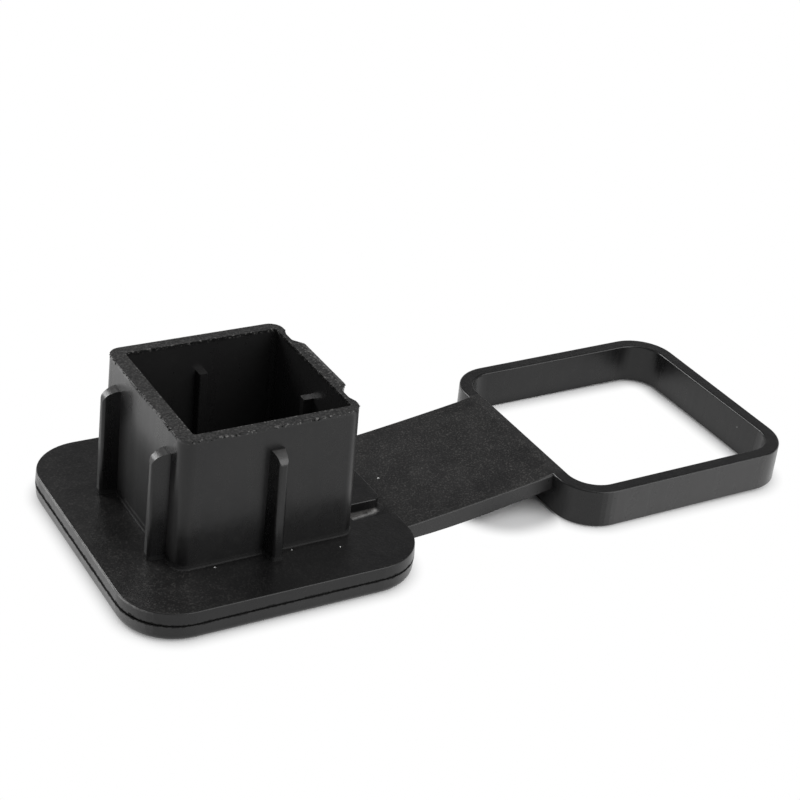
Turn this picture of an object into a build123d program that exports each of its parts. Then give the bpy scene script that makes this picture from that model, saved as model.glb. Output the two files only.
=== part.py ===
"""Moulded rubber cover for a towing receiver: flange, hollow square plug, strap and loop in one piece."""
import math
import os

from build123d import *

os.makedirs("parts", exist_ok=True)

# Flange, in mm. The origin is the centre of its flat underside, +X runs along the strap, +Z up the plug.
flange_length = 76.8
flange_width = 79.0
flange_thickness = 7.9
flange_corner_radius = 14.2
flange_draft = 4.0
flange_top_edge = 0.3
flange_face_edge = 2.0
seam_height = 4.6
seam_gap = 0.5
seam_depth = 0.45

# Plug: a square tube that stands on the flange, with its cavity open at the rim
plug_height = 34.6
plug_length = 46.1
plug_width = 46.6
plug_shift_x = 0.6
plug_shift_y = 0.2
plug_corner_radius = 3.4
plug_draft = 0.8
plug_foot_radius = 0.4
cavity_length = 40.5
cavity_width = 40.8
cavity_shift_x = 1.5
cavity_shift_y = 0.0
cavity_corner_radius = 0.9
cavity_draft = 0.6
cavity_floor = 4.0

# Pad on the plug's strap side, with a shallow valley on either side of it
pad_half_width = 10.7
pad_projection = 1.45
pad_flank = 2.8
pad_edge_radius = 1.2
valley_depth = 0.75
valley_width = 3.4
valley_flank = 2.0
valley_radius = 1.5
valley_end_radius = 0.9

# Upright ribs outside: two on the side away from the strap, one on the side at -Y
rib_projection = 4.2
rib_tip_width = 2.0
rib_tip_radius = 0.85
rib_root_width = 3.6
rib_draft = 0.8
rib_top_height = 28.6
rib_arch_height = 2.85
rib_spread = 30.1
rib_shift_y = -0.5
side_rib_x = 1.4

# Upright ribs inside the cavity
inner_rib_projection = 2.6
inner_rib_width = 2.3
inner_rib_tip_radius = 0.4
inner_rib_top_height = 26.5
inner_rib_x = 1.4
inner_rib_y = -0.8

# Tongue of the flange between two notches, which open onto the strap
tongue_width = 24.0
tongue_inset = 0.2
tongue_corner_radius = 2.4
tongue_top_edge = 0.3
notch_width = 6.7
notch_length = 11.9
notch_cove_radius = 1.5

# Strap, from the flange's lower half up to the loop's top
strap_width = 42.7
strap_root_rise = 0.3
strap_root_thickness = 3.8
strap_root_run = 2.2
strap_thickness = 4.2
strap_edge = 0.4
strap_top_slope = 0.115
strap_under_slope = 0.02
strap_end_slope = 0.16

# Loop: a rounded square ring on the flange's own floor, its far side tipped up by loop_lift, in degrees
loop_inner_length = 63.2
loop_inner_width = 61.4
loop_wall = 3.75
loop_height = 10.8
loop_inner_radius = 8.1
loop_draft = 0.45
loop_top_edge = 0.5
loop_inner_edge = 0.5
loop_bottom_chamfer = 0.5
loop_centre_x = 119.1
loop_lift = 0.6

# Derived sizes
flange_end_x = flange_length / 2
rim_z = flange_thickness + plug_height
plug_half_x = plug_length / 2
plug_half_y = plug_width / 2
plug_grow = plug_height * math.tan(math.radians(plug_draft))
rib_grow = rib_top_height * math.tan(math.radians(rib_draft))
cavity_depth = rim_z - cavity_floor
cavity_shrink = cavity_depth * math.tan(math.radians(cavity_draft))
loop_outer_length = loop_inner_length + 2 * loop_wall
loop_outer_width = loop_inner_width + 2 * loop_wall
loop_outer_radius = loop_inner_radius + 0.9 * loop_wall
loop_left = loop_centre_x - loop_outer_length / 2
strap_root_x = flange_end_x - 4.0
strap_start_x = flange_end_x + strap_root_run
tongue_end_x = flange_end_x - tongue_inset
notch_end_x = flange_end_x - notch_length
strap_end_x = loop_left + 0.7 * loop_wall


def rounded(length, width, radius, x, y, z):
    """A rounded rectangle on a level plane."""
    return Pos(x, y, z) * RectangleRounded(length, width, radius)


def between(low, high):
    """A straight-sided solid between two outlines of the same make."""
    return loft([low, high], ruled=True)


# Flange

def flange_half_body(height, at_z, direction, edge):
    """One half of the flange: widest at the seam, narrower away from it, with a rounded outer edge."""
    outline = rounded(flange_length, flange_width, flange_corner_radius, 0, 0, at_z)
    body = extrude(outline, amount=height, dir=(0, 0, direction), taper=flange_draft)
    outer_face = body.faces().sort_by(Axis.Z)[-1 if direction > 0 else 0]
    return fillet(outer_face.edges(), edge)


def flange():
    """Two drafted halves that meet at a fine sunk seam."""
    seam_low = seam_height - seam_gap / 2
    seam_high = seam_height + seam_gap / 2
    lower = flange_half_body(seam_low, seam_low, -1, flange_face_edge)
    upper = flange_half_body(flange_thickness - seam_high, seam_high, 1, flange_top_edge)
    core_outline = rounded(flange_length - 2 * seam_depth, flange_width - 2 * seam_depth,
                           flange_corner_radius - seam_depth, 0, 0, seam_low - 1)
    return lower + extrude(core_outline, seam_gap + 2) + upper


# Plug

def plug_outline(grow, z):
    """The plug's outside at one level, with the pad and its two valleys on the strap side."""
    left, right = -plug_half_x - grow, plug_half_x + grow
    side = plug_half_y + grow
    pad_foot = pad_half_width + pad_flank
    valley_end = pad_foot + valley_width
    shoulder = valley_end + valley_flank
    deep = right - valley_depth
    proud = right + pad_projection
    points = [
        (left, -side), (right, -side), (right, -shoulder), (deep, -valley_end), (deep, -pad_foot),
        (proud, -pad_half_width), (proud, pad_half_width), (deep, pad_foot), (deep, valley_end),
        (right, shoulder), (right, side), (left, side),
    ]
    outline = make_face(Polyline(*points, close=True))

    def near(ends):
        return [v for v in outline.vertices() if any(math.dist((v.X, v.Y), end) < 0.01 for end in ends)]

    outline = fillet(near([points[0], points[1], points[10], points[11]]), plug_corner_radius)
    outline = fillet(near([points[3], points[4], points[7], points[8]]), valley_radius)
    outline = fillet(near([points[2], points[9]]), valley_end_radius)
    outline = fillet(near([points[5], points[6]]), pad_edge_radius)
    return Pos(plug_shift_x, plug_shift_y, z) * outline


def plug():
    """The drafted outer body, before its cavity is cut."""
    return between(plug_outline(plug_grow, flange_thickness), plug_outline(0, rim_z))


def cavity():
    """The blind hollow of the plug, open at the rim."""
    low = rounded(cavity_length - 2 * cavity_shrink, cavity_width - 2 * cavity_shrink, cavity_corner_radius,
                  cavity_shift_x, cavity_shift_y, cavity_floor)
    high = rounded(cavity_length, cavity_width, cavity_corner_radius, cavity_shift_x, cavity_shift_y, rim_z)
    return between(low, high)


# Ribs

def rib_section(grow, z):
    """The plan of a rib that points along -X from x = 0: wide at its root, narrow and rounded at its tip."""
    reach = rib_projection + grow
    root = rib_root_width / 2 + grow
    tip = rib_tip_width / 2 + grow
    points = [(1.5, -root), (0, -root), (-reach, -tip), (-reach, tip), (0, root), (1.5, root)]
    plan = make_face(Polyline(*points, close=True))
    tips = [v for v in plan.vertices() if v.X < -reach + 0.01]
    return Pos(0, 0, z) * fillet(tips, rib_tip_radius)


def outer_rib():
    """A rib along -X whose top falls in an arch from the wall to the tip."""
    blank = between(rib_section(rib_grow, 0), rib_section(0, rib_top_height))
    reach = rib_projection + rib_grow + 1
    spring = rib_top_height - rib_arch_height
    arch = EllipticalCenterArc((0, spring), rib_projection, rib_arch_height, 90, arc_size=90)
    side = Wire([
        arch,
        Line((-rib_projection, spring), (-reach, spring)),
        Line((-reach, spring), (-reach, rib_top_height + 1)),
        Line((-reach, rib_top_height + 1), (0, rib_top_height + 1)),
        Line((0, rib_top_height + 1), (0, rib_top_height)),
    ])
    above = extrude(Plane.XZ * make_face(side), amount=rib_root_width + 4, both=True)
    return blank - above


def outer_ribs():
    """All ribs on the plug's outside."""
    wall_grow = plug_grow * (1 - rib_top_height / plug_height)
    rib = outer_rib()
    left = plug_shift_x - plug_half_x - wall_grow
    front = plug_shift_y - plug_half_y - wall_grow
    middle = plug_shift_y + rib_shift_y
    ribs = [Pos(left, middle + side * rib_spread / 2, flange_thickness) * rib for side in (-1, 1)]
    ribs.append(Pos(side_rib_x, front, flange_thickness) * Rot(0, 0, 90) * rib)
    return ribs


def inner_rib(root_sink):
    """A plain upright rib for the cavity that points along -X from x = 0."""
    length = inner_rib_projection + root_sink
    plan = Pos(root_sink - length / 2, 0, 0) * Rectangle(length, inner_rib_width)
    tips = [v for v in plan.vertices() if v.X < 0 - inner_rib_projection + 0.01]
    plan = fillet(tips, inner_rib_tip_radius)
    return extrude(plan, amount=inner_rib_top_height + flange_thickness - cavity_floor + 0.5)


def inner_ribs():
    """The two ribs inside the cavity, on the strap side and on the side at +Y."""
    foot = cavity_floor - 0.5
    strap_side = cavity_shift_x + cavity_length / 2
    far_side = cavity_shift_y + cavity_width / 2
    return [
        Pos(strap_side, inner_rib_y, foot) * inner_rib(1.0),
        Pos(inner_rib_x, far_side, foot) * Rot(0, 0, 90) * inner_rib(1.0),
    ]


# Notches and tongue

def ramp_z(x):
    """Height of the level that the notch floors and the strap's root share. It falls towards the plug."""
    return strap_root_rise + strap_root_thickness + strap_top_slope * (x - flange_end_x)


def bay():
    """What the two notches and the tongue together take out of the flange, before the tongue is put back."""
    outer_x = flange_end_x + 3
    side = make_face(Polyline(
        (notch_end_x, ramp_z(notch_end_x)), (outer_x, ramp_z(outer_x)),
        (outer_x, flange_thickness + 1), (notch_end_x, flange_thickness + 1), close=True))
    return extrude(Plane.XZ * side, amount=tongue_width / 2 + notch_width, both=True)


def tongue():
    """The middle of the flange's strap side, with rounded corners and an eased top edge."""
    start_x = notch_end_x - tongue_corner_radius - 0.5
    middle = (start_x + tongue_end_x) / 2
    outline = rounded(tongue_end_x - start_x, tongue_width, tongue_corner_radius, middle, 0, 1)
    body = extrude(outline, flange_thickness - 1)
    return fillet(body.faces().sort_by(Axis.Z)[-1].edges(), tongue_top_edge)


def tongue_foot(body):
    """The edges where the tongue's walls meet the notch floors and the strap."""
    def at_foot(point):
        return (abs(point.Z - ramp_z(point.X)) < 0.01 and abs(point.Y) < tongue_width / 2 + 0.01
                and notch_end_x - 0.01 < point.X < tongue_end_x + 0.01)
    return [e for e in body.edges() if all(at_foot(e @ t) for t in (0, 0.25, 0.5, 0.75, 1))]


# Strap

def strap_line(start_x, start_z, end_z, slope):
    """A side view line of the strap, from its root to the loop."""
    return Spline((start_x, start_z), (strap_end_x, end_z), tangents=[(1, slope), (1, strap_end_slope)])


def strap():
    """A flat band that rises in a long curve from the flange's lower half to the loop's top."""
    root = strap_root_x
    low = strap_root_rise
    high = ramp_z(strap_start_x)
    end_low = loop_height - strap_thickness
    side = Wire([
        Line((root, low), (flange_end_x, low)),
        strap_line(flange_end_x, low, end_low, strap_under_slope),
        Line((strap_end_x, end_low), (strap_end_x, loop_height)),
        strap_line(strap_start_x, high, loop_height, strap_top_slope),
        Line((strap_start_x, high), (root, ramp_z(root))),
        Line((root, ramp_z(root)), (root, low)),
    ])
    band = extrude(Plane.XZ * make_face(side), amount=strap_width / 2, both=True)
    top_edges = [e for e in band.edges() if e.bounding_box().size.X > 20 and (e @ 0.5).Z > loop_height / 2]
    return fillet(top_edges, strap_edge)


# Loop

def loop():
    """The ring, with its inside a little narrower at the floor."""
    outer = extrude(rounded(loop_outer_length, loop_outer_width, loop_outer_radius, loop_centre_x, 0, 0), loop_height)
    outer = fillet(outer.faces().sort_by(Axis.Z)[-1].edges(), loop_top_edge)
    outer = chamfer(outer.faces().sort_by(Axis.Z)[0].edges(), loop_bottom_chamfer)
    low = rounded(loop_inner_length - 2 * loop_draft, loop_inner_width - 2 * loop_draft, loop_inner_radius,
                  loop_centre_x, 0, -0.01)
    high = rounded(loop_inner_length, loop_inner_width, loop_inner_radius, loop_centre_x, 0, loop_height + 0.01)
    ring = outer - between(low, high)
    inner_top = [
        e for e in ring.faces().sort_by(Axis.Z)[-1].edges()
        if e.bounding_box().min.X > loop_left + loop_wall - 0.3
        and e.bounding_box().max.X < loop_centre_x + loop_inner_length / 2 + 0.3
        and max(abs(e.bounding_box().min.Y), abs(e.bounding_box().max.Y)) < loop_inner_width / 2 + 0.3
    ]
    ring = fillet(inner_top, loop_inner_edge)
    return Pos(loop_left, 0, 0) * Rot(0, -loop_lift, 0) * Pos(-loop_left, 0, 0) * ring


# Whole cover

def cover():
    """Everything joined to one moulding."""
    body = flange() + plug()
    foot = [
        e for e in body.edges().filter_by_position(Axis.Z, flange_thickness - 0.01, flange_thickness + 0.01)
        if e.bounding_box().size.length < flange_width * 0.75
        and abs(e.center().X) < plug_half_x + plug_grow + pad_projection + 1.5
        and abs(e.center().Y) < plug_half_y + plug_grow + 1.5
    ]
    body = fillet(foot, plug_foot_radius)
    body = body - bay() + tongue() + strap()
    body = fillet(tongue_foot(body), notch_cove_radius)
    for rib in outer_ribs():
        body += rib
    body -= cavity()
    for rib in inner_ribs():
        body += rib
    body += loop()
    return body


result = cover()
solids = result.solids()
print("solids", len(solids), "volume cm3", round(sum(s.volume for s in solids) / 1000, 2))
box = result.bounding_box()
print("box", box.min, box.max)
shape = solids[0]
shape.label = "cover"
export_step(shape, "parts/cover.step")
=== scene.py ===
import math
import random

import bpy
from mathutils import Matrix, Vector


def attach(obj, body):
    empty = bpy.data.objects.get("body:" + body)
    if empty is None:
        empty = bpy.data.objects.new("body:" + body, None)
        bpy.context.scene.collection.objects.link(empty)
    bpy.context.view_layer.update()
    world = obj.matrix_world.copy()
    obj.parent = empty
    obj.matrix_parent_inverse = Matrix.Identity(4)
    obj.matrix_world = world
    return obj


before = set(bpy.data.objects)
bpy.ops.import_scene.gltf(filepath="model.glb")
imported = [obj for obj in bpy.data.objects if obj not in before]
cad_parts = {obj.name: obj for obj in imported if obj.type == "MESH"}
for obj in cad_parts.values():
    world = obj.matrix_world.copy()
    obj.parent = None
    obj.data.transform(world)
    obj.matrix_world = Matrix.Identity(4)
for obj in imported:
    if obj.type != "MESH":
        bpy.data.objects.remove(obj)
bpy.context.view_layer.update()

# All lengths are in metres.

# Camera, from the photograph's straight edges: angles in degrees, lens in mm
CAMERA_PLACE = (-0.17491, -0.34865, 0.25959)
CAMERA_YAW = 32.582
CAMERA_PITCH = 29.243
CAMERA_ROLL = -6.655
CAMERA_LENS = 84.219
CAMERA_SENSOR = 36.0
CAMERA_CLIP = (0.01, 20.0)

# Heights of the part that the looks depend on
RIM_Z = 0.0425
FLANGE_Z = 0.0079
SEAM_Z = 0.0046

# Outlines seen from above: centre x, centre y, half length, half width and corner radius
RIM_OUTSIDE = (0.0006, 0.0002, 0.02305, 0.0233, 0.0034)
RIM_INSIDE = (0.0015, 0.0, 0.02025, 0.0204, 0.0009)
FLANGE = (0.0, 0.0, 0.0384, 0.0395, 0.0142)
STRAP = (0.0592, 0.0, 0.0292, 0.02135, 0.0)
LOOP_MIDDLE = (0.1191, 0.0, 0.03348, 0.03258, 0.0098)
LOOP_HALF_WALL = 0.0019

# The same for the shade on the floor under the strap's raised end and the loop
STRAP_SHADE = (0.0755, 0.0, 0.0155, 0.028, 0.014)
LOOP_SHADE_MIDDLE = (0.1191, 0.0, 0.0326, 0.0317, 0.009)
LOOP_HALF_SHADE = 0.0033

# The cavity's inside, between two places each way
CAVITY_X = (-0.0188, 0.0218)
CAVITY_Y = (-0.0205, 0.0205)

# Spans over which a look comes in: none at the first value, all at the second
RIM_FACE_Z = (RIM_Z - 0.0006, RIM_Z - 0.0002)
RIM_EDGE_Z = (RIM_Z - 0.0011, RIM_Z - 0.0001)
RIM_OUTER_EDGE = (-0.0006, -0.0001)
RIM_INNER_EDGE = (0.0006, 0.0001)
STRAP_X = (0.036, 0.042)
LEFT_X = (0.002, -0.036)
PLUG_Z = (0.009, 0.01)
PLUG_LEFT_X = (-0.022, -0.0224)
PLUG_WALL_X = (-0.0233, -0.0231)
PLUG_LOW_Z = (0.036, 0.024)
# Spans of the painted sheen on the plug's left wall top and the painted highlight on its corner beside the
# strap
SHEEN_Z = (0.031, 0.043)
SHEEN_Y = (-0.026, 0.004)
SHEEN_REAR_Y = (-0.005, 0.02)
CORNER_X = (0.0205, 0.0225)
CORNER_Y = (-0.0195, -0.0215)
CORNER_Z = (0.009, 0.02)
RIB_OUT = (0.0005, 0.0009)
RIB_TOP_Z = (0.0258, 0.0268)
OUTER_SIDE = (-0.0022, -0.001)
LOOP_OUTER_HALF = (-0.0005, 0.0005)
ABOVE_SEAM_Z = (SEAM_Z - 0.0002, SEAM_Z + 0.0002)
FLANGE_SIDE = (-0.0009, -0.0007)
FLANGE_EDGE_Z = (FLANGE_Z - 0.0009, FLANGE_Z - 0.0004)
SEAM_BAND = (-0.0002, -0.0004)
NOTCH_NEAR_X = (0.0262, 0.0268)
NOTCH_FAR_X = (0.0386, 0.0382)
NOTCH_NEAR_Y = (0.0117, 0.0121)
NOTCH_FAR_Y = (0.0191, 0.0187)
NOTCH_Z = (0.0055, 0.005)
FOOT_START_Z = (FLANGE_Z + 0.00002, FLANGE_Z + 0.00006)
FOOT_END_Z = (0.0095, 0.0085)
SHADE_EDGE = (-0.0035, 0.0035)

# The strap's margin, and how far the seam's tear reaches: everywhere, and further on the left
STRAP_MARGIN = 0.0001
SEAM_TEAR = 0.0014
SEAM_TEAR_LEFT = 0.0002

# The same for which way a face looks, by one part of its normal
FACES_UP = (0.6, 0.95)
FACES_LEFT = (-0.6, -0.97)
FACES_FRONT = (-0.85, -0.98)
TURNS_LEFT = (0.0, -0.4)
UPRIGHT = (0.6, 0.3)
COVE_SLOPE = (0.9, 0.7)
RIB_SLOPE = (0.1, 0.5)

# Noises: scale, detail and roughness
CLOUDS = (55.0, 4.0, 0.55)
WAVES = (120.0, 2.0, 0.5)
PATCHES = (150.0, 4.0, 0.6)
MOTTLE = (480.0, 3.0, 0.6)
GRAIN = (2100.0, 2.0, 0.6)
BANDS = (300.0, 1.0, 0.5)
STREAKS = (800.0, 0.0, 0.5)
SCORES = (900.0, 1.0, 0.5)
TEARS = (900.0, 3.0, 0.7)
FLECKS = (1900.0, 3.0, 0.7)
SPECKS = (1500.0, 2.0, 0.6)
FLUFF = (6000.0, 2.0, 0.6)

# Values of a noise where a mark begins and where it is full
CLOUD_MARKS = (0.32, 0.7)
MOTTLE_MARKS = (0.5, 0.8)
FILM_MARKS = (0.3, 0.74)
DOT_PATCHES = (0.1, 0.6)
DOT_MARKS = (0.5, 0.7)
SCORE_MARKS = (0.66, 0.74)
EDGE_HIGHLIGHT_MARKS = (0.3, 0.6)
COVE_HIGHLIGHT_MARKS = (0.2, 0.6)
FLECK_MARKS = (0.45, 0.72)
NICK_MARKS = (0.53, 0.6)
SPECK_MARKS = (0.56, 0.64)

# How the noises are drawn out along an axis, and the scores' angle on the flange in radians
BAND_STRETCH = (1.0, 1.0, 0.012)
STREAK_STRETCH = (1.0, 1.0, 0.01)
SCORE_STRETCH = (0.05, 1.0, 1.0)
SCORE_ANGLE = 0.75

# Colours; the wall, rib, side, edge and cove greys hold painted sheen and highlights, the rib grey wear
# too, and the seam black holds painted shade
BLACK = (0.0045, 0.0045, 0.0048, 1.0)
CLOUD_BLACK = (0.008, 0.0079, 0.008, 1.0)
SEAM_SHADE_BLACK = (0.002, 0.002, 0.002, 1.0)
NICK_BLACK = (0.003, 0.003, 0.003, 1.0)
MOTTLE_GREY = (0.0165, 0.016, 0.0155, 1.0)
CAVITY_GREY = (0.0235, 0.0232, 0.0232, 1.0)
FILM_GREY = (0.04, 0.0392, 0.038, 1.0)
SCORE_GREY = (0.06, 0.058, 0.056, 1.0)
WALL_SHEEN_GREY = (0.075, 0.0745, 0.074, 1.0)
DOT_GREY = (0.085, 0.082, 0.078, 1.0)
SIDE_REFLECTION_GREY = (0.09, 0.0895, 0.089, 1.0)
RIB_WEAR_HIGHLIGHT_GREY = (0.1, 0.099, 0.098, 1.0)
FLECK_GREY = (0.1, 0.098, 0.095, 1.0)
COVE_HIGHLIGHT_GREY = (0.13, 0.127, 0.123, 1.0)
SPECK_GREY = (0.17, 0.167, 0.163, 1.0)
EDGE_HIGHLIGHT_GREY = (0.2, 0.198, 0.195, 1.0)
LINT_GREY = (0.45, 0.45, 0.44, 1.0)
LINT_WHITE = (0.85, 0.85, 0.84, 1.0)

# The rubber's gloss and bump
SPECULAR = 0.39
BUMP_STRENGTH = 0.5
BUMP_DISTANCE = 0.00012

# Studio
FLOOR_HALF = 1.2
FLOOR_DROP = 0.0002
FLOOR_COLOUR = (0.74, 0.74, 0.74, 1.0)
WORLD_COLOUR = (0.34, 0.34, 0.345, 1.0)
MIRRORED_LOW = (1.0, 1.0, 1.0, 1.0)
MIRRORED_HIGH = (0.18, 0.18, 0.184, 1.0)
MIRRORED_RISE = (0.03, 0.32)
LAMP_TARGET = (0.03, 0.0, 0.02)

# Lamps: name, place, side length and radiance
LAMPS = [
    ("key_back_left", (-0.52, 0.86, 0.55), 0.5, 9.5),
    ("front", (0.5, -0.8, 0.6), 1.0, 2.8),
    ("top", (0.1, -0.25, 1.3), 1.1, 0.9),
]

# Crumbs: an octahedron, each of whose corners lies at its own share of the radius
CRUMB_CORNERS = [(1, 0, 0), (-1, 0, 0), (0, 1, 0), (0, -1, 0), (0, 0, 1), (0, 0, -1)]
CRUMB_FACES = [(0, 2, 4), (2, 1, 4), (1, 3, 4), (3, 0, 4), (2, 0, 5), (1, 2, 5), (3, 1, 5), (0, 3, 5)]
CRUMB_REACH = (0.6, 1.0)
CRUMB_RADIUS = 0.0001

# Rim crumbs: a length of edge for each, the share left out, and the most that is added to
# the radius, to the place sideways and to the depth, beside the radii that they lie below the rim
RIM_CRUMB_STEP = 0.00036
RIM_CRUMBS_LEFT_OUT = 0.3
RIM_CRUMB_SPREAD = 0.00026
RIM_CRUMB_SHIFT = 0.0001
RIM_CRUMB_DROP = 0.0004
RIM_CRUMB_RADII_BELOW = 1.02

# Seam crumbs: a length of edge for each, the most that is added to the radius and to the height,
# and the radii by which they are drawn in, towards the middle and along each axis
SEAM_CRUMB_STEP = 0.0006
SEAM_CRUMB_SPREAD = 0.00016
SEAM_CRUMB_RISE = 0.00012
SEAM_CRUMB_RADII_IN = 1.1
SEAM_CRUMB_RADII_ALONG = 0.3

# How near to the rim's height and to the seam's height their edges lie
RIM_REACH = 0.00002
SEAM_REACH = 0.0004

# The strap's root, where the seam has no crumbs: least x and half width
ROOT = (0.02, 0.0216)

# Side view of the wedge that makes the strap flush with the loop's top: x, half width and height
STRAP_BLEND = [
    (0.0778, 0.02085, 0.00943), (0.08425, 0.02085, 0.010813), (0.0852, 0.02085, 0.010812),
    (0.0852, 0.02125, 0.0101), (0.0778, 0.02125, 0.0092),
]

# Pale specks of lint on the part: centre and radius
LINT = [
    ((0.0445, 0.0006, 0.0049), 0.00034),
    ((0.01805, -0.02774, 0.008), 0.0003),
    ((0.00655, -0.02482, 0.008), 0.00022),
    ((-0.01357, -0.02486, 0.008), 0.00024),
    ((0.15055, -0.01446, 0.0077), 0.00026),
    ((-0.02116, -0.00887, 0.0423), 0.00022),
    ((-0.01252, -0.02233, 0.0423), 0.00018),
]


# Camera

def add_camera():
    """A camera that looks down at the part from its front left."""
    yaw, pitch, roll = (math.radians(a) for a in (CAMERA_YAW, CAMERA_PITCH, CAMERA_ROLL))
    level = math.cos(pitch)
    forward = Vector((math.sin(yaw) * level, math.cos(yaw) * level, -math.sin(pitch)))
    level_right = Vector((math.cos(yaw), -math.sin(yaw), 0.0))
    level_down = forward.cross(level_right)
    right = math.cos(roll) * level_right + math.sin(roll) * level_down
    down = -math.sin(roll) * level_right + math.cos(roll) * level_down
    data = bpy.data.cameras.new("camera")
    data.sensor_width = CAMERA_SENSOR
    data.lens = CAMERA_LENS
    data.clip_start, data.clip_end = CAMERA_CLIP
    camera = bpy.data.objects.new("camera", data)
    turn = Matrix((right, -down, -forward)).transposed().to_4x4()
    camera.matrix_world = Matrix.Translation(CAMERA_PLACE) @ turn
    bpy.context.scene.collection.objects.link(camera)
    bpy.context.scene.camera = camera


# Node helpers

class Nodes:
    """Short calls for building one node tree."""

    def __init__(self, tree):
        self.tree = tree
        self.tree.nodes.clear()

    def add(self, kind):
        return self.tree.nodes.new(kind)

    def link(self, source, target):
        self.tree.links.new(source, target)

    def into(self, socket, value):
        """Sets a socket to a constant or links it to an output."""
        if isinstance(value, (int, float, tuple)):
            socket.default_value = value
        else:
            self.link(value, socket)

    def math(self, operation, a, b=0.0, clamp=False):
        node = self.add("ShaderNodeMath")
        node.operation = operation
        node.use_clamp = clamp
        self.into(node.inputs[0], a)
        self.into(node.inputs[1], b)
        return node.outputs[0]

    def plus(self, a, b, clamp=False):
        return self.math("ADD", a, b, clamp)

    def minus(self, a, b):
        return self.math("SUBTRACT", a, b)

    def times(self, *factors):
        """The product of two or more values."""
        product = factors[0]
        for factor in factors[1:]:
            product = self.math("MULTIPLY", product, factor)
        return product

    def rest(self, share):
        """What is left of 1 beside a share."""
        return self.minus(1.0, share)

    def more(self, value, mask, amount, clamp=False):
        """A value with an amount added where the mask is."""
        return self.plus(value, self.times(mask, amount), clamp)

    def less(self, mask, other, amount=1.0):
        """A mask that is lowered by an amount where another one is."""
        return self.times(mask, self.rest(self.times(other, amount)))

    def ramp(self, value, low, high):
        """0 at low and 1 at high, smooth between them, also where low is the greater one."""
        node = self.add("ShaderNodeMapRange")
        node.interpolation_type = "SMOOTHSTEP"
        self.link(value, node.inputs["Value"])
        node.inputs["From Min"].default_value = low
        node.inputs["From Max"].default_value = high
        return node.outputs["Result"]

    def split(self, vector):
        """A vector's x, y and z."""
        node = self.add("ShaderNodeSeparateXYZ")
        self.link(vector, node.inputs[0])
        return tuple(node.outputs)

    def scaled(self, vector, scale):
        node = self.add("ShaderNodeVectorMath")
        node.operation = "MULTIPLY"
        self.link(vector, node.inputs[0])
        node.inputs[1].default_value = scale
        return node.outputs[0]

    def noise(self, vector, scale, detail, rough):
        node = self.add("ShaderNodeTexNoise")
        self.link(vector, node.inputs["Vector"])
        node.inputs["Scale"].default_value = scale
        node.inputs["Detail"].default_value = detail
        node.inputs["Roughness"].default_value = rough
        return node.outputs["Fac"]

    def mix(self, factor, a, b):
        """A colour between a and b."""
        node = self.add("ShaderNodeMix")
        node.data_type = "RGBA"
        self.into(node.inputs[0], factor)
        self.into(node.inputs[6], a)
        self.into(node.inputs[7], b)
        return node.outputs[2]

    def mix_shader(self, factor, a, b):
        """A shader between a and b."""
        node = self.add("ShaderNodeMixShader")
        self.link(factor, node.inputs[0])
        self.link(a, node.inputs[1])
        self.link(b, node.inputs[2])
        return node.outputs[0]


def new_material(name):
    """An empty material and the helper for its nodes."""
    material = bpy.data.materials.new(name)
    material.use_nodes = True
    return material, Nodes(material.node_tree)


# Where a spot lies

def past(n, x, y, outline):
    """How far a spot lies outside an outline, negative within it."""
    middle_x, middle_y, half_x, half_y, radius = outline
    beyond_x = n.minus(n.math("ABSOLUTE", n.minus(x, middle_x)), half_x - radius)
    beyond_y = n.minus(n.math("ABSOLUTE", n.minus(y, middle_y)), half_y - radius)
    square_x = n.math("POWER", n.math("MAXIMUM", beyond_x, 0.0), 2.0)
    square_y = n.math("POWER", n.math("MAXIMUM", beyond_y, 0.0), 2.0)
    corner = n.math("SQRT", n.plus(square_x, square_y))
    within = n.math("MINIMUM", n.math("MAXIMUM", beyond_x, beyond_y), 0.0)
    return n.minus(n.plus(corner, within), radius)


def past_all(n, x, y, strap, loop_middle, loop_half):
    """How far a spot lies outside the flange, the strap and the loop's wall, seen from above."""
    loop = n.minus(n.math("ABSOLUTE", past(n, x, y, loop_middle)), loop_half)
    flange_or_strap = n.math("MINIMUM", past(n, x, y, FLANGE), past(n, x, y, strap))
    return n.math("MINIMUM", flange_or_strap, loop)


def between(n, value, span):
    """1 between two values, 0 elsewhere."""
    return n.times(n.math("GREATER_THAN", value, span[0]), n.math("LESS_THAN", value, span[1]))


class Spot:
    """Where on the moulding a spot lies, which way it faces, and the noises there."""

    def __init__(self, n):
        self.place = n.add("ShaderNodeTexCoord").outputs["Object"]
        self.x, self.y, self.z = n.split(self.place)
        normal = n.add("ShaderNodeNewGeometry").outputs["True Normal"]
        self.normal_x, self.normal_y, self.normal_z = n.split(normal)

        self.upward = n.ramp(self.normal_z, *FACES_UP)
        self.wall = n.rest(self.upward)
        self.facing_left = n.ramp(self.normal_x, *FACES_LEFT)
        self.on_rim = n.times(self.upward, n.ramp(self.z, *RIM_FACE_Z))
        self.near_rim = n.ramp(self.z, *RIM_EDGE_Z)
        self.inside = n.times(between(n, self.x, CAVITY_X), between(n, self.y, CAVITY_Y))
        self.beyond_flange = n.ramp(self.x, *STRAP_X)
        self.on_flange = n.rest(self.beyond_flange)
        within_strap = n.math("LESS_THAN", past(n, self.x, self.y, STRAP), STRAP_MARGIN)
        self.on_strap = n.times(self.beyond_flange, within_strap)
        self.left_side = n.ramp(self.x, *LEFT_X)
        self.plug_left = n.times(self.facing_left, n.ramp(self.z, *PLUG_Z), n.ramp(self.x, *PLUG_LEFT_X))

        self.patches = n.noise(self.place, *PATCHES)
        self.mottle = n.noise(self.place, *MOTTLE)
        self.grain = n.noise(self.place, *GRAIN)
        self.bands = n.noise(n.scaled(self.place, BAND_STRETCH), *BANDS)


# The rubber

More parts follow.
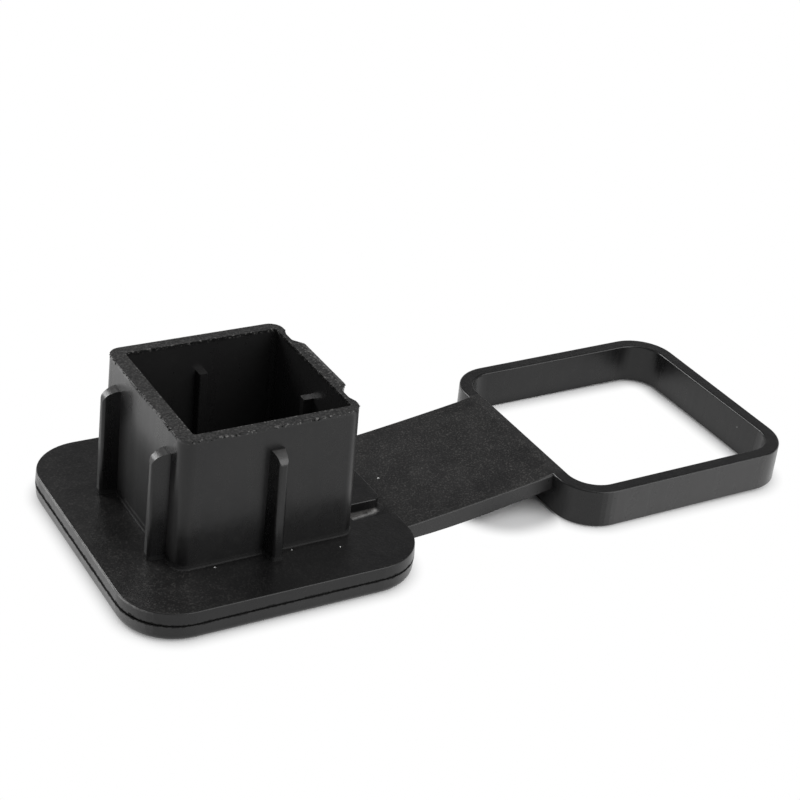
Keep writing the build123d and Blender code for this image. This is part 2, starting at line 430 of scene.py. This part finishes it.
def clouded_black(n, spot):
    """The bare rubber's colour: clouds of two blacks with a dark grey mottle."""
    clouds = n.noise(spot.place, *CLOUDS)
    base = n.mix(n.ramp(clouds, *CLOUD_MARKS), BLACK, CLOUD_BLACK)
    return n.mix(n.times(n.ramp(spot.mottle, *MOTTLE_MARKS), 0.35), base, MOTTLE_GREY)


def dust_masks(n, spot):
    """Film and dots of dust on what faces up, most on the strap and the flange's left."""
    dusty = n.more(n.more(0.22, spot.on_strap, 0.76), spot.left_side, 0.45)
    film = n.more(0.24, n.ramp(spot.patches, *FILM_MARKS), 0.33)
    film = n.times(film, spot.upward, dusty)
    dots = n.times(n.ramp(spot.patches, *DOT_PATCHES), n.ramp(spot.grain, *DOT_MARKS))
    return film, n.times(dots, spot.upward, dusty)


def score_mask(n, spot):
    """Slanting scores on the flange's left."""
    turn = n.add("ShaderNodeVectorRotate")
    turn.rotation_type = "Z_AXIS"
    n.link(spot.place, turn.inputs["Vector"])
    turn.inputs["Angle"].default_value = SCORE_ANGLE
    scores = n.noise(n.scaled(turn.outputs[0], SCORE_STRETCH), *SCORES)
    return n.times(n.ramp(scores, *SCORE_MARKS), spot.upward, spot.left_side)


def painted_sheen_wall_mask(n, spot):
    """Painted sheen: the top of the plug's left wall made lighter, most at the rear, and a painted
    highlight down its corner beside the strap.
    """
    top = n.times(spot.plug_left, n.ramp(spot.z, *SHEEN_Z), n.ramp(spot.y, *SHEEN_Y))
    top = n.times(top, n.more(0.4, n.ramp(spot.y, *SHEEN_REAR_Y), 0.35))
    corner = n.times(n.ramp(spot.x, *CORNER_X), n.ramp(spot.y, *CORNER_Y), spot.wall,
                     n.ramp(spot.z, *CORNER_Z))
    painted_sheen = n.math("MAXIMUM", top, n.times(corner, 0.35))
    return n.times(painted_sheen, n.plus(0.6, spot.bands))


def rib_wear_and_highlight_mask(n, spot):
    """The tops of the outer ribs, where they fall to the wall, made lighter: wear and a painted highlight.
    """
    out = n.ramp(past(n, spot.x, spot.y, RIM_OUTSIDE), *RIB_OUT)
    top = n.times(out, n.ramp(spot.z, *RIB_TOP_Z), n.ramp(spot.normal_z, *RIB_SLOPE))
    return n.times(top, n.more(0.2, spot.mottle, 0.6))


def painted_reflection_side_mask(n, spot):
    """Painted reflection: the outer sides of the loop and the flange's left made lighter, less on the
    strap and on what faces the front.
    """
    clear = past_all(n, spot.x, spot.y, STRAP, LOOP_MIDDLE, LOOP_HALF_WALL)
    side = n.times(n.ramp(clear, *OUTER_SIDE), n.ramp(spot.normal_z, *UPRIGHT))
    side = n.times(side, n.ramp(past(n, spot.x, spot.y, LOOP_MIDDLE), *LOOP_OUTER_HALF))
    flange_side = n.less(spot.facing_left, n.ramp(spot.z, *ABOVE_SEAM_Z), 0.5)
    side = n.times(side, n.plus(spot.beyond_flange, n.times(spot.on_flange, flange_side)))
    side = n.less(side, spot.on_strap, 0.6)
    side = n.less(side, n.times(spot.beyond_flange, n.ramp(spot.normal_x, *TURNS_LEFT)))
    return n.less(side, n.ramp(spot.normal_y, *FACES_FRONT), 0.42)


def flange_side_masks(n, spot):
    """A painted highlight along the flange's top edge at its left, and painted shade in a torn dark band
    along the seam all round.
    """
    at_side = n.times(spot.on_flange, n.ramp(past(n, spot.x, spot.y, FLANGE), *FLANGE_SIDE))
    # Painted highlight along the top edge of the flange's left side
    edge = n.times(at_side, spot.facing_left, n.ramp(spot.z, *FLANGE_EDGE_Z))
    edge = n.times(edge, n.ramp(spot.mottle, *EDGE_HIGHLIGHT_MARKS))
    # Painted shade: a torn dark band along the seam groove
    off_seam = n.math("ABSOLUTE", n.minus(spot.z, SEAM_Z))
    off_seam = n.minus(off_seam, n.times(n.noise(spot.place, *TEARS), SEAM_TEAR))
    off_seam = n.minus(off_seam, n.times(spot.facing_left, SEAM_TEAR_LEFT))
    return edge, n.times(at_side, n.ramp(off_seam, *SEAM_BAND))


def cove_highlight_mask(n, spot):
    """A painted highlight in the coves of the notches beside the tongue."""
    away = n.math("ABSOLUTE", spot.y)
    in_notch = n.times(n.ramp(spot.x, *NOTCH_NEAR_X), n.ramp(spot.x, *NOTCH_FAR_X),
                       n.ramp(away, *NOTCH_NEAR_Y), n.ramp(away, *NOTCH_FAR_Y), n.ramp(spot.z, *NOTCH_Z))
    return n.times(in_notch, n.ramp(spot.normal_z, *COVE_SLOPE), n.ramp(spot.mottle, *COVE_HIGHLIGHT_MARKS))


def rim_masks(n, spot):
    """Flecks on the rim's cut face, and dark nicks and bright specks along its torn edges."""
    fleck = n.times(spot.on_rim, n.ramp(n.noise(spot.place, *FLECKS), *FLECK_MARKS))
    outer = n.ramp(past(n, spot.x, spot.y, RIM_OUTSIDE), *RIM_OUTER_EDGE)
    inner = n.ramp(past(n, spot.x, spot.y, RIM_INSIDE), *RIM_INNER_EDGE)
    torn = n.times(n.math("MAXIMUM", outer, inner), spot.near_rim)
    nick = n.times(torn, n.ramp(n.noise(spot.place, *TEARS), *NICK_MARKS))
    speck = n.times(torn, n.ramp(n.noise(spot.place, *SPECKS), *SPECK_MARKS))
    return fleck, nick, speck


def roughness(n, spot, film, seam_shade):
    """Satin walls whose bands differ, duller tops, and a dull rim, seam, plug's foot and low left wall."""
    rough = n.more(0.18, spot.mottle, 0.08)
    rough = n.more(rough, n.times(spot.bands, spot.wall), 0.14)
    rough = n.more(rough, spot.upward, 0.08)
    rough = n.more(rough, film, 0.2)
    foot = n.times(n.ramp(spot.z, *FOOT_START_Z), n.ramp(spot.z, *FOOT_END_Z), spot.on_flange)
    rough = n.more(rough, foot, 0.45)
    rough = n.more(rough, seam_shade, 0.6)
    low_left = n.times(spot.plug_left, n.ramp(spot.x, *PLUG_WALL_X), n.ramp(spot.z, *PLUG_LOW_Z))
    rough = n.more(rough, low_left, 0.38)
    return n.more(rough, spot.on_rim, 0.25, clamp=True)


def relief(n, spot):
    """Grain, gentle waves, draw marks down the walls, and a torn rim."""
    height = n.times(spot.grain, n.more(0.05, spot.upward, 0.75))
    height = n.more(height, n.noise(spot.place, *WAVES), 1.8)
    streaks = n.noise(n.scaled(spot.place, STREAK_STRETCH), *STREAKS)
    marks = n.more(n.times(spot.bands, 0.9), streaks, 0.18)
    height = n.plus(height, n.times(marks, spot.wall))
    height = n.more(height, n.times(spot.mottle, spot.upward), 0.8)
    return n.more(height, n.times(spot.mottle, spot.near_rim), 4.0)


def rubber():
    """Near-black moulded rubber: satin drawn walls, dusty grained tops, sides lightened with painted
    reflection, painted highlights on the left wall, rib tops, flange edge and coves, painted shade along
    the seam, a cut rim.
    """
    material, n = new_material("rubber")
    shader = n.add("ShaderNodeBsdfPrincipled")
    n.link(shader.outputs[0], n.add("ShaderNodeOutputMaterial").inputs["Surface"])
    spot = Spot(n)

    film, dots = dust_masks(n, spot)
    # The flange's edge mask is a painted highlight, and its seam mask painted shade along the seam.
    edge, seam_shade = flange_side_masks(n, spot)
    fleck, nick, speck = rim_masks(n, spot)
    base = clouded_black(n, spot)
    for mask, amount, colour in (
        (film, 0.65, FILM_GREY),
        (dots, 0.6, DOT_GREY),
        (score_mask(n, spot), 0.25, SCORE_GREY),
        (spot.inside, 0.45, CAVITY_GREY),
        # painted sheen and highlight on the plug's left wall
        (painted_sheen_wall_mask(n, spot), 1.0, WALL_SHEEN_GREY),
        # wear and painted highlight on the outer rib tops
        (rib_wear_and_highlight_mask(n, spot), 1.0, RIB_WEAR_HIGHLIGHT_GREY),
        # painted reflection on the outer sides
        (painted_reflection_side_mask(n, spot), 0.7, SIDE_REFLECTION_GREY),
        # painted highlight on the flange's top edge
        (edge, 1.0, EDGE_HIGHLIGHT_GREY),
        # painted shade along the seam
        (seam_shade, 0.95, SEAM_SHADE_BLACK),
        # painted highlight in the notch coves
        (cove_highlight_mask(n, spot), 1.0, COVE_HIGHLIGHT_GREY),
        (fleck, 0.6, FLECK_GREY),
        (nick, 0.9, NICK_BLACK),
        (speck, 0.8, SPECK_GREY),
    ):
        base = n.mix(n.times(mask, amount), base, colour)
    n.link(base, shader.inputs["Base Color"])

    n.link(roughness(n, spot, film, seam_shade), shader.inputs["Roughness"])
    shader.inputs["Specular IOR Level"].default_value = SPECULAR

    bump = n.add("ShaderNodeBump")
    bump.inputs["Strength"].default_value = BUMP_STRENGTH
    bump.inputs["Distance"].default_value = BUMP_DISTANCE
    n.link(relief(n, spot), bump.inputs["Height"])
    n.link(bump.outputs[0], shader.inputs["Normal"])
    return material


def lint_material():
    """Pale fluff that caught on the rubber."""
    material, n = new_material("lint")
    shader = n.add("ShaderNodeBsdfPrincipled")
    n.link(shader.outputs[0], n.add("ShaderNodeOutputMaterial").inputs["Surface"])
    fluff = n.noise(n.add("ShaderNodeTexCoord").outputs["Object"], *FLUFF)
    n.link(n.mix(fluff, LINT_GREY, LINT_WHITE), shader.inputs["Base Color"])
    n.link(n.more(0.7, fluff, 0.25), shader.inputs["Roughness"])
    return material


# Studio

def seen(n):
    """1 for rays that show the background: straight to the camera, mirrored or through glass."""
    path = n.add("ShaderNodeLightPath")
    direct_or_mirrored = n.plus(path.outputs["Is Camera Ray"], path.outputs["Is Glossy Ray"])
    return n.plus(direct_or_mirrored, path.outputs["Is Transmission Ray"], clamp=True)


def floor_material():
    """Pale floor that shows the part's shade near it and is plain white further out."""
    material, n = new_material("studio_floor")
    matt = n.add("ShaderNodeBsdfDiffuse")
    matt.inputs["Color"].default_value = FLOOR_COLOUR
    white = n.add("ShaderNodeEmission")
    white.inputs["Strength"].default_value = 1.0
    x, y, _ = n.split(n.add("ShaderNodeTexCoord").outputs["Object"])
    clear = past_all(n, x, y, STRAP_SHADE, LOOP_SHADE_MIDDLE, LOOP_HALF_SHADE)
    near_or_far = n.mix_shader(n.ramp(clear, *SHADE_EDGE), matt.outputs[0], white.outputs[0])
    shown = n.mix_shader(seen(n), matt.outputs[0], near_or_far)
    n.link(shown, n.add("ShaderNodeOutputMaterial").inputs["Surface"])
    return material


def add_floor():
    """A pale floor under the part."""
    mesh = bpy.data.meshes.new("studio_floor")
    half = FLOOR_HALF
    corners = [(-half, -half, 0), (half, -half, 0), (half, half, 0), (-half, half, 0)]
    mesh.from_pydata(corners, [], [(0, 1, 2, 3)])
    floor = bpy.data.objects.new("studio_floor", mesh)
    floor.location = (0.0, 0.0, -FLOOR_DROP)
    mesh.materials.append(floor_material())
    bpy.context.scene.collection.objects.link(floor)


def add_world():
    """Even grey light all round: seen straight on it is white, and in gloss it is white only low down."""
    world = bpy.data.worlds.new("studio")
    bpy.context.scene.world = world
    world.use_nodes = True
    n = Nodes(world.node_tree)
    light = n.add("ShaderNodeBackground")
    light.inputs["Color"].default_value = WORLD_COLOUR
    background = n.add("ShaderNodeBackground")
    _, _, upward = n.split(n.add("ShaderNodeTexCoord").outputs["Generated"])
    glossy = n.add("ShaderNodeLightPath").outputs["Is Glossy Ray"]
    dimmed = n.times(glossy, n.ramp(upward, *MIRRORED_RISE))
    n.link(n.mix(dimmed, MIRRORED_LOW, MIRRORED_HIGH), background.inputs["Color"])
    shown = n.mix_shader(seen(n), light.outputs[0], background.outputs[0])
    n.link(shown, n.add("ShaderNodeOutputWorld").inputs["Surface"])


def add_softbox(name, place, size, radiance):
    """A square soft lamp that faces the part and is as bright as its radiance."""
    data = bpy.data.lights.new(name, "AREA")
    data.shape = "SQUARE"
    data.size = size
    data.energy = radiance * math.pi * size * size
    lamp = bpy.data.objects.new(name, data)
    lamp.location = place
    lamp.rotation_mode = "QUATERNION"
    lamp.rotation_quaternion = (Vector(LAMP_TARGET) - Vector(place)).to_track_quat("-Z", "Y")
    bpy.context.scene.collection.objects.link(lamp)


def add_studio():
    """Floor, background and lamps."""
    add_floor()
    add_world()
    for lamp in LAMPS:
        add_softbox(*lamp)


# The part

def new_piece(name, vertices, faces, material):
    """A mesh that goes with the moulding."""
    mesh = bpy.data.meshes.new(name)
    mesh.from_pydata(vertices, [], faces)
    mesh.materials.append(material)
    piece = bpy.data.objects.new(name, mesh)
    bpy.context.scene.collection.objects.link(piece)
    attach(piece, "root")


def add_crumb(rng, centre, radius, vertices, faces):
    """Adds one irregular lump to the lists."""
    start = len(vertices)
    for corner in CRUMB_CORNERS:
        reach = radius * rng.uniform(*CRUMB_REACH)
        vertices.append(tuple(c + reach * d for c, d in zip(centre, corner)))
    faces.extend(tuple(start + i for i in face) for face in CRUMB_FACES)


def face_sides(mesh):
    """Each face's sides, as a list of pairs of points."""
    for face in mesh.polygons:
        points = [tuple(round(c, 6) for c in mesh.vertices[i].co) for i in face.vertices]
        yield list(zip(points, points[1:] + points[:1]))


def rim_edges(mesh):
    """The outer and inner edges of the rim's top face, as pairs of points."""
    count = {}
    for sides in face_sides(mesh):
        if min(a[2] for a, _ in sides) > RIM_Z - RIM_REACH:
            for a, b in sides:
                edge = (min(a, b), max(a, b))
                count[edge] = count.get(edge, 0) + 1
    return sorted(edge for edge, times in count.items() if times == 1)


def seam_edges(mesh):
    """The level edges of the flange's seam groove, as pairs of points, except at the strap's root."""
    found = set()
    for sides in face_sides(mesh):
        for a, b in sides:
            near_seam = all(abs(p[2] - SEAM_Z) < SEAM_REACH for p in (a, b))
            at_root = all(p[0] > ROOT[0] and abs(p[1]) < ROOT[1] for p in (a, b))
            if near_seam and a[2] == b[2] and not at_root:
                found.add((min(a, b), max(a, b)))
    return sorted(found)


def along(a, b, share):
    """The point at a share of the way from a to b."""
    return [a[i] + (b[i] - a[i]) * share for i in range(3)]


def add_rim_flash(cover, skin):
    """Torn crumbs of rubber that the mould left along the rim's edges."""
    rng = random.Random(41)
    vertices, faces = [], []
    for a, b in rim_edges(cover.data):
        for _ in range(max(1, int(math.dist(a, b) / RIM_CRUMB_STEP + rng.random()))):
            if rng.random() < RIM_CRUMBS_LEFT_OUT:
                continue
            centre = along(a, b, rng.random())
            radius = CRUMB_RADIUS + RIM_CRUMB_SPREAD * rng.random() ** 2.5
            centre[0] += rng.uniform(-RIM_CRUMB_SHIFT, RIM_CRUMB_SHIFT)
            centre[1] += rng.uniform(-RIM_CRUMB_SHIFT, RIM_CRUMB_SHIFT)
            centre[2] = RIM_Z - radius * RIM_CRUMB_RADII_BELOW - rng.random() ** 3 * RIM_CRUMB_DROP
            add_crumb(rng, centre, radius, vertices, faces)
    new_piece("rim_flash", vertices, faces, skin)


def add_seam_flash(cover, skin):
    """Torn crumbs in the flange's seam, drawn in so that none stands out of its side."""
    rng = random.Random(23)
    vertices, faces = [], []
    for a, b in seam_edges(cover.data):
        for _ in range(int(math.dist(a, b) / SEAM_CRUMB_STEP + rng.random())):
            x, y, z = along(a, b, rng.random())
            radius = CRUMB_RADIUS + SEAM_CRUMB_SPREAD * rng.random() ** 2
            inward = 1.0 - SEAM_CRUMB_RADII_IN * radius / math.hypot(x, y)
            centre = (x * inward - math.copysign(SEAM_CRUMB_RADII_ALONG * radius, x),
                      y * inward - math.copysign(SEAM_CRUMB_RADII_ALONG * radius, y),
                      z + rng.uniform(-SEAM_CRUMB_RISE, SEAM_CRUMB_RISE))
            add_crumb(rng, centre, radius, vertices, faces)
    new_piece("seam_flash", vertices, faces, skin)


def add_strap_blend(skin):
    """Fills the low step where the strap runs onto the loop's top: a wedge with bevelled sides."""
    corners = [(x, side * y, z) for side in (-1, 1) for x, y, z in STRAP_BLEND]
    count = len(STRAP_BLEND)
    faces = [tuple(range(count)), tuple(reversed(range(count, 2 * count)))]
    for i in range(count):
        j = (i + 1) % count
        faces.append((j, i, i + count, j + count))
    new_piece("strap_blend", corners, faces, skin)


def add_lint():
    """The few pale specks that the photograph shows."""
    rng = random.Random(7)
    vertices, faces = [], []
    for centre, radius in LINT:
        add_crumb(rng, centre, radius, vertices, faces)
        for _ in range(2):
            near = [c + rng.uniform(-radius, radius) * 0.9 for c in centre]
            near[2] = centre[2]
            add_crumb(rng, near, radius * 0.6, vertices, faces)
    new_piece("lint", vertices, faces, lint_material())


def dress_cover():
    """The moulding keeps its own mesh and gets the rubber, its crumbs, the wedge and the lint."""
    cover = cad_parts["cover"]
    skin = rubber()
    cover.data.materials.clear()
    cover.data.materials.append(skin)
    add_rim_flash(cover, skin)
    add_seam_flash(cover, skin)
    add_strap_blend(skin)
    add_lint()


scene = bpy.context.scene
scene.view_settings.view_transform = "Standard"
add_camera()
add_studio()
dress_cover()
